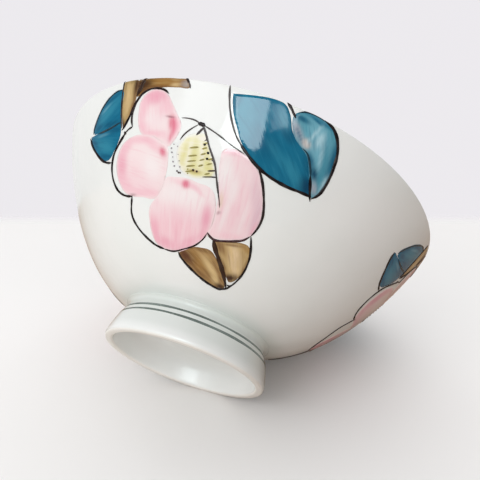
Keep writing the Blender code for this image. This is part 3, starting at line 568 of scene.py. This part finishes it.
def foot_ring(material):
    """The flared foot with its rounded tread, its cove under the wall, and the recess inside it."""
    hidden = [(0.0, FOOT_TOP - 0.2), (19.0, FOOT_TOP - 0.1), (21.3, 12.2)]
    cove = bezier(((21.6, 11.85), (20.0, 11.55), (foot_outside(COVE_HEIGHT), COVE_HEIGHT)), 10)
    side = [(foot_outside(height), height) for height in np.linspace(9.6, 1.6, 18)]
    toe = ((foot_outside(1.4), 1.4), (FOOT_RADIUS + 0.05, 0.1), (TREAD_OUTER_RADIUS, 0.0))
    heel = ((TREAD_INNER_RADIUS, 0.0), (TREAD_INNER_RADIUS - 0.7, 0.05), (21.0, 1.4))
    hollow = bezier(((20.9, 2.0), (20.2, 6.2), (19.6, 8.0), (14.0, 8.2)), 24)
    base = [(7.0, BASE_UNDERSIDE + 0.35), (0.0, BASE_UNDERSIDE + 0.4)]
    section = np.vstack((hidden, cove, side, bezier(toe, 8), bezier(heel, 8), hollow, base))
    return turned("glazed_foot", section, material, "foot_ring")


def foot_line(name, height, material, seed):
    """A painted line round the foot: a thin band whose width and height waver by hand."""
    degrees = np.arange(FOOT_LINE_STEPS) * 360.0 / FOOT_LINE_STEPS
    turn = np.radians(degrees)
    middle = height + 0.05 * np.sin(2 * turn + seed) + 0.03 * np.sin(5 * turn + 2 * seed)
    half = FOOT_LINE_HALF + 0.05 * np.sin(3 * turn + 3 * seed) + 0.03 * np.sin(11 * turn + seed)
    rows = []
    for share, lift in FOOT_LINE_SECTION:
        place = middle + share * half
        rows.append(around(foot_outside(place) + lift, place, degrees))
    faces = ring_faces(len(rows), FOOT_LINE_STEPS, closed=True)
    return new_piece(f"painted_{name}", np.concatenate(rows), faces, material, "foot_line", name)


# ---- painted patches
def filled_outline(outline):
    """A flat filled mesh in chart millimetres, from an outline's places."""
    curve = bpy.data.curves.new("outline", "CURVE")
    curve.dimensions = "2D"
    curve.fill_mode = "BOTH"
    curve.resolution_u = 6
    spline = curve.splines.new("BEZIER")
    spline.bezier_points.add(len(outline) - 1)
    spline.use_cyclic_u = True
    for point, place in zip(spline.bezier_points, outline):
        point.co = (place[0] * MM_PER_DEGREE, -place[1], 0.0)
        handle = "VECTOR" if len(place) > 2 else "AUTO"
        point.handle_left_type = handle
        point.handle_right_type = handle
    flat = new_object("outline", curve)
    mesh = bpy.data.meshes.new_from_object(flat.evaluated_get(bpy.context.evaluated_depsgraph_get()))
    bpy.data.objects.remove(flat, do_unlink=True)
    return mesh


def cut_into_cells(sheet):
    """Cut a flat sheet along a square grid, so that it can bend and take colour."""
    for axis in (Vector((1, 0, 0)), Vector((0, 1, 0))):
        reach = [vert.co.dot(axis) for vert in sheet.verts]
        first = math.ceil(min(reach) / SHEET_CELL)
        last = math.floor(max(reach) / SHEET_CELL)
        for step in range(first, last + 1):
            place = axis * step * SHEET_CELL
            geometry = sheet.verts[:] + sheet.edges[:] + sheet.faces[:]
            bmesh.ops.bisect_plane(sheet, geom=geometry, dist=0.01, plane_co=place, plane_no=axis)


def flat_sheet(outline):
    """An outline's sheet of cells: its points, its faces, and its directed border edges."""
    mesh = filled_outline(outline)
    sheet = bmesh.new()
    sheet.from_mesh(mesh)
    bpy.data.meshes.remove(mesh)
    bmesh.ops.remove_doubles(sheet, verts=sheet.verts, dist=0.01)
    cut_into_cells(sheet)
    bmesh.ops.remove_doubles(sheet, verts=sheet.verts, dist=0.02)
    sheet.verts.index_update()
    points = np.array([vert.co[:2] for vert in sheet.verts])
    faces = [tuple(vert.index for vert in face.verts) for face in sheet.faces]
    border = []
    for edge in sheet.edges:
        if edge.is_boundary:
            loop = edge.link_loops[0]
            border.append((loop.vert.index, loop.link_loop_next.vert.index))
    sheet.free()
    return points, faces, border


def distance_to_border(points, border):
    """How far each point of a sheet is from its border, in chart millimetres."""
    starts = points[[a for a, b in border]]
    ends = points[[b for a, b in border]]
    along = ends - starts
    offset = points[:, None, :] - starts[None]
    share = (offset * along).sum(-1) / np.maximum((along ** 2).sum(-1), 1e-9)
    nearest = starts + np.clip(share, 0.0, 1.0)[..., None] * along
    return np.linalg.norm(points[:, None, :] - nearest, axis=-1).min(axis=1)


def along_and_across(offset, lean):
    """Offsets along and across a brush that leans this many degrees from level."""
    turn = math.radians(lean)
    along = offset[:, 0] * math.cos(turn) - offset[:, 1] * math.sin(turn)
    across = offset[:, 0] * math.sin(turn) + offset[:, 1] * math.cos(turn)
    return along, across


def painted_colours(points, base, dabs):
    """Colours of the points after each soft dab is laid over the base wash."""
    colours = np.tile(np.array(base), (len(points), 1))
    for degrees, drop, long, wide, lean, strength, colour in dabs:
        offset = points - np.array((degrees * MM_PER_DEGREE, -drop))
        along, across = along_and_across(offset, lean)
        reach = (along / long) ** 2 + (across / wide) ** 2
        weight = strength * np.exp(-reach ** 1.4)
        colours += weight[:, None] * (np.array(colour) - colours)
    return colours


def painted_patch(name, patch, sheet, spray, material, *nodes):
    """One patch of enamel on one spray: a thin closed skin over the wall, thin at its edge."""
    points, faces, border = sheet
    count = len(points)
    edge = distance_to_border(points, border)
    rise = ENAMEL_RISE[patch["slot"]] * smooth_step(edge / ENAMEL_EDGE)
    top = on_spray(points, spray, ENAMEL_CLEAR + rise)
    bottom = on_spray(points, spray, -SUNK)
    skin = list(faces)
    skin += [tuple(count + i for i in reversed(face)) for face in faces]
    skin += [(b, a, a + count, b + count) for a, b in border]
    piece = new_piece(name, np.concatenate((top, bottom)), skin, material, patch["slot"], *nodes)
    colours = painted_colours(points, patch["base"], patch["dabs"])
    brush = np.stack((*along_and_across(points, patch["brush"]), edge), axis=-1)
    set_point_colours(piece, np.concatenate((colours, colours)))
    set_brush_places(piece, np.concatenate((brush, brush)))


# ---- brush lines
def smooth_line(places):
    """Points on a Catmull-Rom curve through chart places, and the run of the line to each."""
    points = np.array([(degrees * MM_PER_DEGREE, -drop) for degrees, drop in places])
    points = np.vstack((2 * points[0] - points[1], points, 2 * points[-1] - points[-2]))
    t = np.linspace(0.0, 1.0, 24, endpoint=False)[:, None]
    stretches = []
    for a, b, c, d in zip(points, points[1:], points[2:], points[3:]):
        square = (2 * a - 5 * b + 4 * c - d) * t ** 2
        cube = (3 * b - a - 3 * c + d) * t ** 3
        stretches.append(0.5 * (2 * b + (c - a) * t + square + cube))
    dense = np.vstack(stretches + [points[-2][None]])
    lengths = np.concatenate(([0.0], np.cumsum(np.linalg.norm(np.diff(dense, axis=0), axis=1))))
    run = np.linspace(0.0, lengths[-1], max(int(lengths[-1] / LINE_SPACING), 4) + 1)
    line = np.stack([np.interp(run, lengths, dense[:, axis]) for axis in (0, 1)], axis=-1)
    return line, run


def brush_line(line, spray, seed):
    """Points, faces and colours of one tapering line."""
    width, ink, places = line
    middle, run = smooth_line(places)
    total = run[-1]
    reach = min(LINE_TAPER, 0.35 * total)
    taper = smooth_step(run / reach + 0.3) * smooth_step((total - run) / reach + 0.3)
    sway = 1 + 0.13 * np.sin(run * 0.9 + seed * 2.1) + 0.07 * np.sin(run * 2.3 + seed)
    half = LINE_WEIGHT * width * taper * sway
    heading = np.gradient(middle, axis=0)
    heading /= np.linalg.norm(heading, axis=1)[:, None]
    side = np.stack((-heading[:, 1], heading[:, 0]), axis=-1)
    rows = []
    for share, lift in LINE_SECTION:
        rows.append(on_spray(middle + side * (half * share)[:, None], spray, lift))
    rings = np.stack(rows, axis=1)
    stations, corners = rings.shape[:2]
    faces = ring_faces(stations, corners)
    faces.append(tuple(range(corners)))
    faces.append(tuple(reversed(range((stations - 1) * corners, stations * corners))))
    dry = np.clip(0.06 + 0.10 * np.sin(run * 1.7 + seed), 0.0, 1.0)
    colours = np.array(ink) + dry[:, None] * (np.array(INK_GREY) - np.array(ink))
    return rings.reshape(-1, 3), faces, np.repeat(colours, corners, axis=0)


def dot(place, spray):
    """Points, faces and colours of one small raised dot."""
    degrees, drop, radius, ink = place
    turn = np.arange(DOT_STEPS) * 2 * math.pi / DOT_STEPS
    circle = np.stack((np.cos(turn), -np.sin(turn)), axis=-1)
    middle = np.array((degrees * MM_PER_DEGREE, -drop))
    rings = [on_spray(middle + radius * share * circle, spray, lift) for share, lift in DOT_SECTION]
    points = np.concatenate(rings)
    faces = ring_faces(len(rings), DOT_STEPS)
    faces.append(tuple(range(DOT_STEPS)))
    faces.append(tuple(reversed(range(len(points) - DOT_STEPS, len(points)))))
    return points, faces, np.tile(np.array(ink), (len(points), 1))


def hatching():
    """The short olive strokes across the stamens, as brush lines."""
    strokes = []
    for middle, long, drops in HATCH_COLUMNS:
        for drop in drops:
            start = (middle - long / 2, drop + HATCH_SLANT)
            end = (middle + long / 2, drop - HATCH_SLANT)
            strokes.append((HATCH_WIDTH, INK_OLIVE, (start, end)))
    return strokes


def brush_lines(spray, material):
    """All the dark lines and dots of one spray, as one piece."""
    lines = list(BRUSH_LINES) + hatching()
    shapes = [brush_line(line, spray, seed) for seed, line in enumerate(lines)]
    shapes += [dot(place, spray) for place in ANTHERS]
    points, faces, colours = [], [], []
    count = 0
    for shape_points, shape_faces, shape_colours in shapes:
        points.append(shape_points)
        colours.append(shape_colours)
        faces += [tuple(count + i for i in face) for face in shape_faces]
        count += len(shape_points)
    name = f"{spray[0]}_brush_lines"
    piece = new_piece(name, np.concatenate(points), faces, material, "outline_enamel")
    set_point_colours(piece, np.concatenate(colours))


# ---- materials
class Shading:
    """The node tree of a material or a world, with short names for the nodes used here."""

    def __init__(self, owner):
        self.owner = owner
        self.owner.use_nodes = True
        self.nodes = self.owner.node_tree.nodes
        self.links = self.owner.node_tree.links
        self.surface = self.nodes.get("Principled BSDF")

    def feed(self, socket, value):
        """Link an output to a socket, or set a plain value on it."""
        if isinstance(value, bpy.types.NodeSocket):
            self.links.new(value, socket)
        elif isinstance(value, tuple) and len(value) == 3 and socket.type == "RGBA":
            socket.default_value = (*value, 1.0)
        else:
            socket.default_value = value

    def node(self, kind, output, inputs, **settings):
        """One output of a new node that has these settings and inputs."""
        made = self.nodes.new(f"ShaderNode{kind}")
        for name, value in settings.items():
            setattr(made, name, value)
        for socket, value in inputs.items():
            self.feed(made.inputs[socket], value)
        return made.outputs[output]

    def position(self):
        """Places in the bowl's own frame, in metres."""
        return self.node("TexCoord", "Object", {})

    def attribute(self, name, output):
        """A value stored on the mesh's points."""
        return self.node("Attribute", output, {}, attribute_name=name)

    def part(self, vector, axis):
        """One of the three numbers of a vector."""
        return self.node("SeparateXYZ", axis, {0: vector})

    def along(self, vector, way):
        """How far a vector points along a way."""
        return self.node("VectorMath", "Value", {0: vector, 1: way.normalized()}, operation="DOT_PRODUCT")

    def length(self, vector):
        """The length of a vector."""
        return self.node("VectorMath", "Value", {0: vector}, operation="LENGTH")

    def stretched(self, vector, scale):
        """A vector scaled by a different number on each axis."""
        return self.node("Mapping", 0, {"Vector": vector, "Scale": scale})

    def noise(self, vector, scale, detail=2.0):
        """Soft noise from 0 to 1."""
        return self.node("TexNoise", "Fac", {"Vector": vector, "Scale": scale, "Detail": detail})

    def cells(self, vector, scale):
        """Distance to the nearest of scattered points."""
        return self.node("TexVoronoi", "Distance", {"Vector": vector, "Scale": scale})

    def ramp(self, value, low, high, start=0.0, end=1.0):
        """A smooth change from start to end while the value goes from low to high."""
        inputs = {"Value": value, "From Min": low, "From Max": high, "To Min": start, "To Max": end}
        return self.node("MapRange", "Result", inputs, interpolation_type="SMOOTHSTEP")

    def times(self, a, b):
        """The product of two values."""
        return self.node("Math", 0, {0: a, 1: b}, operation="MULTIPLY")

    def plus(self, a, b):
        """The sum of two values."""
        return self.node("Math", 0, {0: a, 1: b}, operation="ADD")

    def larger(self, a, b):
        """The larger of two values."""
        return self.node("Math", 0, {0: a, 1: b}, operation="MAXIMUM")

    def rest(self, value):
        """What a value leaves of 1."""
        return self.node("Math", 0, {0: 1.0, 1: value}, operation="SUBTRACT")

    def mix(self, factor, a, b):
        """A mix of two colours."""
        return self.node("Mix", 2, {0: factor, 6: a, 7: b}, data_type="RGBA")

    def bump(self, height, distance):
        """Give the surface a bump normal."""
        normal = self.node("Bump", 0, {"Distance": distance, "Height": height})
        self.feed(self.surface.inputs["Normal"], normal)

    def paint(self, colour, roughness, ior=1.5):
        """Give the surface its colour, roughness and refraction."""
        self.feed(self.surface.inputs["Base Color"], colour)
        self.feed(self.surface.inputs["Roughness"], roughness)
        self.feed(self.surface.inputs["IOR"], ior)
        return self.owner


def porcelain_material():
    """White glaze: faintly uneven, greener where it pools by the foot, darker on the foot's outside (thick
    glaze and painted shade), bare on the tread.
    """
    look = Shading(bpy.data.materials.new("porcelain_glaze"))
    place = look.position()
    height = look.part(place, 2)
    cloud = look.noise(place, 38.0, 3.0)
    colour = look.mix(look.ramp(cloud, 0.35, 0.7), GLAZE_WHITE, GLAZE_SHADE)
    neck = look.times(
        look.ramp(height, 0.0085, 0.0112),
        look.ramp(height, 0.0114, 0.0140, 1.0, 0.0),
    )
    pool = look.times(neck, look.ramp(cloud, 0.2, 0.8, 0.35, 0.7))
    colour = look.mix(pool, colour, GLAZE_POOL)
    radius = look.length(look.stretched(place, (1.0, 1.0, 0.0)))
    recess = look.times(
        look.ramp(radius, 0.0211, 0.0214, 1.0, 0.0),
        look.ramp(height, 0.0084, 0.0090, 1.0, 0.0),
    )
    # The foot's outside is darker and greener: partly its thicker glaze, partly painted shade.
    foot = look.times(
        look.ramp(height, 0.001, 0.004),
        look.ramp(height, 0.0104, 0.0114, 0.55, 0.0),
    )
    colour = look.mix(look.times(foot, look.rest(recess)), colour, FOOT_GLAZE_AND_SHADE)
    speck = look.ramp(look.cells(place, 120.0), 0.012, 0.020, 0.35, 0.0)
    colour = look.mix(speck, colour, IRON_SPECK)
    bare = look.ramp(height, 0.00025, 0.00060, 1.0, 0.0)
    clay = look.mix(look.noise(place, 2400.0), CLAY_DARK, CLAY_LIGHT)
    colour = look.mix(bare, colour, clay)
    glossy = look.ramp(look.noise(place, 90.0), 0.3, 0.7, 0.055, 0.11)
    toe = look.ramp(height, 0.001, 0.003, 1.0, 0.0)
    duller = look.larger(look.larger(recess, pool), toe)
    roughness = look.larger(glossy, look.times(bare, 0.65))
    roughness = look.larger(roughness, look.times(duller, 0.24))
    peel = look.times(look.noise(place, 620.0, 1.0), 0.06)
    look.bump(look.plus(look.noise(place, 75.0, 1.0), peel), 0.00035)
    return look.paint(colour, roughness)


def enamel_material(name, thin, thick, rim, contrast, roughness):
    """Painted enamel: the piece's own wash, with streaks left by the brush and its own rim."""
    look = Shading(bpy.data.materials.new(name))
    brush = look.attribute("brush", "Vector")
    long_streaks = look.noise(look.stretched(brush, (0.16, 1.3, 0.0)), 1.0, 3.0)
    fine_streaks = look.noise(look.stretched(brush, (0.35, 4.5, 0.0)), 1.0)
    clouds = look.noise(look.position(), 210.0)
    colour = look.attribute("paint", "Color")
    cover = look.times(look.ramp(colour, 0.015, 0.12), contrast)
    light = look.times(look.ramp(long_streaks, 0.5, 0.72), cover)
    dark = look.times(look.ramp(long_streaks, 0.5, 0.28), contrast)
    fine = look.times(look.ramp(fine_streaks, 0.45, 0.7), look.times(cover, 0.4))
    worn = look.times(look.ramp(clouds, 0.5, 0.75), 0.4 * contrast)
    for weight, wash in ((light, thin), (dark, thick), (fine, thin), (worn, thick)):
        colour = look.mix(weight, colour, wash)
    rim_colour, rim_width, rim_strength = rim
    edge = look.plus(look.part(brush, 2), look.ramp(clouds, 0.3, 0.7, -0.15, 0.15))
    colour = look.mix(look.ramp(edge, 0.0, rim_width, rim_strength, 0.0), colour, rim_colour)
    shine = look.ramp(clouds, 0.3, 0.7, roughness, roughness + 0.06)
    look.bump(long_streaks, 0.000012)
    return look.paint(colour, shine, ior=1.48)


def ink_material():
    """Dark outline enamel: nearly black where it is thick, browner where the brush ran dry."""
    look = Shading(bpy.data.materials.new("outline_ink"))
    place = look.position()
    dry = look.times(look.ramp(look.noise(place, 420.0, 3.0), 0.52, 0.78), 0.22)
    colour = look.mix(dry, look.attribute("paint", "Color"), INK_DRY)
    look.bump(look.noise(place, 900.0), 0.00003)
    return look.paint(colour, look.ramp(look.noise(place, 300.0), 0.3, 0.7, 0.16, 0.3), ior=1.35)


def line_material():
    """Grey-green line under the glaze, fainter where the brush was lifted."""
    look = Shading(bpy.data.materials.new("foot_line_blue_green"))
    place = look.position()
    drift = look.noise(place, 70.0, 3.0)
    fine = look.noise(place, 800.0)
    colour = look.mix(look.ramp(drift, 0.42, 0.72, 0.0, 0.4), LINE_GREEN, LINE_FAINT)
    colour = look.mix(look.ramp(fine, 0.55, 0.8, 0.0, 0.3), colour, LINE_WORN)
    look.bump(drift, 0.00005)
    return look.paint(colour, look.ramp(fine, 0.3, 0.7, 0.07, 0.12))


# Each enamel: material name, thin wash, thick wash, rim (colour, width in millimetres and
# strength), contrast of the brush's streaks, and roughness.
ENAMELS = {
    "pink_enamel": ("pink_petals", PINK_PALE, PINK_DEEP, (PINK_PALE, 0.7, 0.6), 0.20, 0.07),
    "teal_enamel": ("teal_leaves", TEAL_LIGHT, TEAL_DEEP, (TEAL_DEEP, 0.4, 0.3), 0.30, 0.03),
    "brown_enamel": ("brown_sepals", OCHRE_LIGHT, BROWN, (BROWN, 0.5, 0.5), 0.36, 0.09),
    "yellow_enamel": ("yellow_centre", WHITE, YELLOW_DEEP, (GLAZE_WHITE, 0.8, 0.7), 0.30, 0.11),
}


# ---- the bowl, assembled
def build_bowl():
    """Every piece of the bowl."""
    porcelain = porcelain_material()
    bowl_wall(porcelain)
    foot_ring(porcelain)
    line = line_material()
    for seed, (name, height) in enumerate(FOOT_LINES.items()):
        foot_line(name, height, line, 1.3 + seed)
    enamels = {slot: enamel_material(*look) for slot, look in ENAMELS.items()}
    ink = ink_material()
    sheets = {part: flat_sheet(patch["outline"]) for part, patch in PATCHES.items()}
    for spray in SPRAYS:
        for part, patch in PATCHES.items():
            node = f"{spray[0]}_{part}"
            painted_patch(f"{node}_paint", patch, sheets[part], spray, enamels[patch["slot"]], node)
        brush_lines(spray, ink)


# ---- stage, light and camera
# The bowl lies tipped over on its foot's edge and its side.  The table's plane is given in
# the bowl's own frame: it touches the foot at TOUCH and slopes up towards the side.
LIE_TURN = math.radians(157.3)
LIE_SLOPE = math.radians(54.64)
TOUCH_RADIUS = 23.65
OUTWARD = Vector((math.sin(LIE_TURN), -math.cos(LIE_TURN), 0.0))
TABLE_UP = (Vector((0, 0, 1)) * math.cos(LIE_SLOPE) - OUTWARD * math.sin(LIE_SLOPE)).normalized()
TOUCH = (OUTWARD * TOUCH_RADIUS + Vector((0, 0, TOE_HEIGHT))) * MM

CAMERA_PLACE = Vector((0.0026, -0.1935, -0.0445))
CAMERA_RIGHT = Vector((0.936, -0.1443, 0.3207)).normalized()
CAMERA_UP = Vector((-0.3516, -0.384, 0.8537)).normalized()
CAMERA_LENS = 52.0

TABLE_RIGHT = (CAMERA_RIGHT - TABLE_UP * CAMERA_RIGHT.dot(TABLE_UP)).normalized()
TABLE_AHEAD = TABLE_UP.cross(TABLE_RIGHT)
TABLE_HALF_WIDTH = 1.6
BOWL_MIDDLE = Vector((0.0, 0.0, 0.03))

# How far the table goes on behind the bowl, its own colours, the warm bounce it throws at the
# bowl's left and right, and what the glaze mirrors of it.
TABLE_DEPTH = 0.118
TABLE_PALE = ((0.80, 0.785, 0.775), (0.84, 0.83, 0.825))
TABLE_BOUNCE = ((0.86, 0.82, 0.77), (0.26, 0.16, 0.10))
TABLE_MIRRORED = (0.38, 0.25, 0.16)

# Windows: (from, to) degrees to the right of the viewer, (from, to) degrees up, the brightness
# that lights the bowl, and the brightness that shows in its glaze.
WINDOWS = (
    ((-58, -28), (28, 54), 2.4, 1.6),
    ((-24, -3), (30, 52), 1.2, 7.8),
    ((5, 17), (35, 46), 1.4, 2.6),
)
DAYLIGHT = (0.84, 0.97, 1.0)

# The room: light far from and near the windows, light from the pale wall, what the glaze
# mirrors in front of and behind the bowl, and the wall as the camera sees it.
ROOM_FAR, ROOM_NEAR = (0.31, 0.305, 0.30), (1.06, 1.06, 1.06)
ROOM_WALL = (1.50, 1.50, 1.51)
ROOM_MIRRORED = ((0.10, 0.10, 0.10), (0.80, 0.79, 0.80))
ROOM_SEEN = (0.845, 0.825, 0.855)


def frame_matrix(place, right, up):
    """World matrix of something at a place whose X is right and whose Y is up."""
    back = right.cross(up).normalized()
    rotation = Matrix((right, up, back)).transposed().to_4x4()
    return Matrix.Translation(place) @ rotation


def table_material():
    """Pale table top, clear from below and beyond its far edge."""
    look = Shading(bpy.data.materials.new("pale_table"))
    place = look.position()
    rays = look.nodes.new("ShaderNodeLightPath").outputs
    bounce = look.mix(look.ramp(look.part(place, 0), -0.05, 0.07), *TABLE_BOUNCE)
    colour = look.mix(look.noise(place, 6.0, 3.0), *TABLE_PALE)
    colour = look.mix(rays["Is Diffuse Ray"], colour, bounce)
    look.paint(look.mix(rays["Is Glossy Ray"], colour, TABLE_MIRRORED), 0.6)
    below = look.node("NewGeometry", "Backfacing", {})
    beyond = look.ramp(look.part(place, 1), TABLE_DEPTH, TABLE_DEPTH + 0.012)
    clear = look.node("BsdfTransparent", 0, {})
    shown = look.surface.outputs[0]
    blend = look.node("MixShader", 0, {0: look.larger(below, beyond), 1: shown, 2: clear})
    look.feed(look.nodes["Material Output"].inputs["Surface"], blend)
    return look.owner


def floor():
    """A plain pale table top under the tipped bowl, seen only from its upper side."""
    mesh = bpy.data.meshes.new("table_top")
    sheet = bmesh.new()
    bmesh.ops.create_grid(sheet, x_segments=2, y_segments=2, size=TABLE_HALF_WIDTH)
    sheet.to_mesh(mesh)
    sheet.free()
    mesh.materials.append(table_material())
    top = new_object("table_top", mesh)
    top.matrix_world = frame_matrix(TOUCH, TABLE_RIGHT, TABLE_AHEAD)


def window(name, turns, rises, brightness, mirrored):
    """One window pane that faces the bowl: an area light for its light and one for its gloss."""
    turn = math.radians(0.5 * (turns[0] + turns[1]))
    rise = math.radians(0.5 * (rises[0] + rises[1]))
    level = TABLE_RIGHT * math.sin(turn) - TABLE_AHEAD * math.cos(turn)
    way = level * math.cos(rise) + TABLE_UP * math.sin(rise)
    right = TABLE_UP.cross(way).normalized()
    for share, strength, away in (("light", brightness, 1.3), ("gloss", mirrored, 1.2)):
        light = bpy.data.lights.new(f"{name}_{share}", "AREA")
        light.shape = "RECTANGLE"
        light.size = 2 * away * math.tan(math.radians(0.5 * (turns[1] - turns[0])))
        light.size_y = 2 * away * math.tan(math.radians(0.5 * (rises[1] - rises[0])))
        light.energy = strength * math.pi * light.size * light.size_y
        light.color = DAYLIGHT if share == "gloss" else (1.0, 1.0, 1.0)
        lamp = new_object(light.name, light)
        lamp.matrix_world = frame_matrix(BOWL_MIDDLE + way * away, right, way.cross(right))
        lamp.visible_camera = False
        lamp.visible_diffuse = share == "light"
        lamp.visible_glossy = share == "gloss"


def room():
    """A plain pale room: the wall the camera sees, and a softer light that fades to one side."""
    world = bpy.data.worlds.new("pale_room")
    bpy.context.scene.world = world
    look = Shading(world)
    way = look.node("TexCoord", "Generated", {})
    to_windows = TABLE_UP * 0.05 - TABLE_RIGHT * 0.4 - TABLE_AHEAD * 0.85
    near = look.ramp(look.along(way, to_windows), -0.65, 0.95)
    wall = look.ramp(look.along(way, TABLE_UP * 0.5 + TABLE_AHEAD * 0.8), 0.3, 0.95)
    behind = look.ramp(look.along(way, TABLE_AHEAD), 0.25, 0.85)
    rays = look.nodes.new("ShaderNodeLightPath").outputs
    light = look.mix(wall, look.mix(near, ROOM_FAR, ROOM_NEAR), ROOM_WALL)
    light = look.mix(rays["Is Glossy Ray"], light, look.mix(behind, *ROOM_MIRRORED))
    light = look.mix(rays["Is Camera Ray"], light, ROOM_SEEN)
    look.feed(look.nodes["Background"].inputs["Color"], light)


def camera():
    """The camera, low beside the tipped bowl."""
    lens = bpy.data.cameras.new("camera")
    lens.lens = CAMERA_LENS
    lens.sensor_width = 36.0
    lens.clip_start = 0.01
    viewer = new_object("camera", lens)
    viewer.matrix_world = frame_matrix(CAMERA_PLACE, CAMERA_RIGHT, CAMERA_UP)
    bpy.context.scene.camera = viewer


build_bowl()
floor()
room()
for number, pane in enumerate(WINDOWS, start=1):
    window(f"window_{number}", *pane)
camera()
bpy.context.scene.view_settings.view_transform = "Standard"
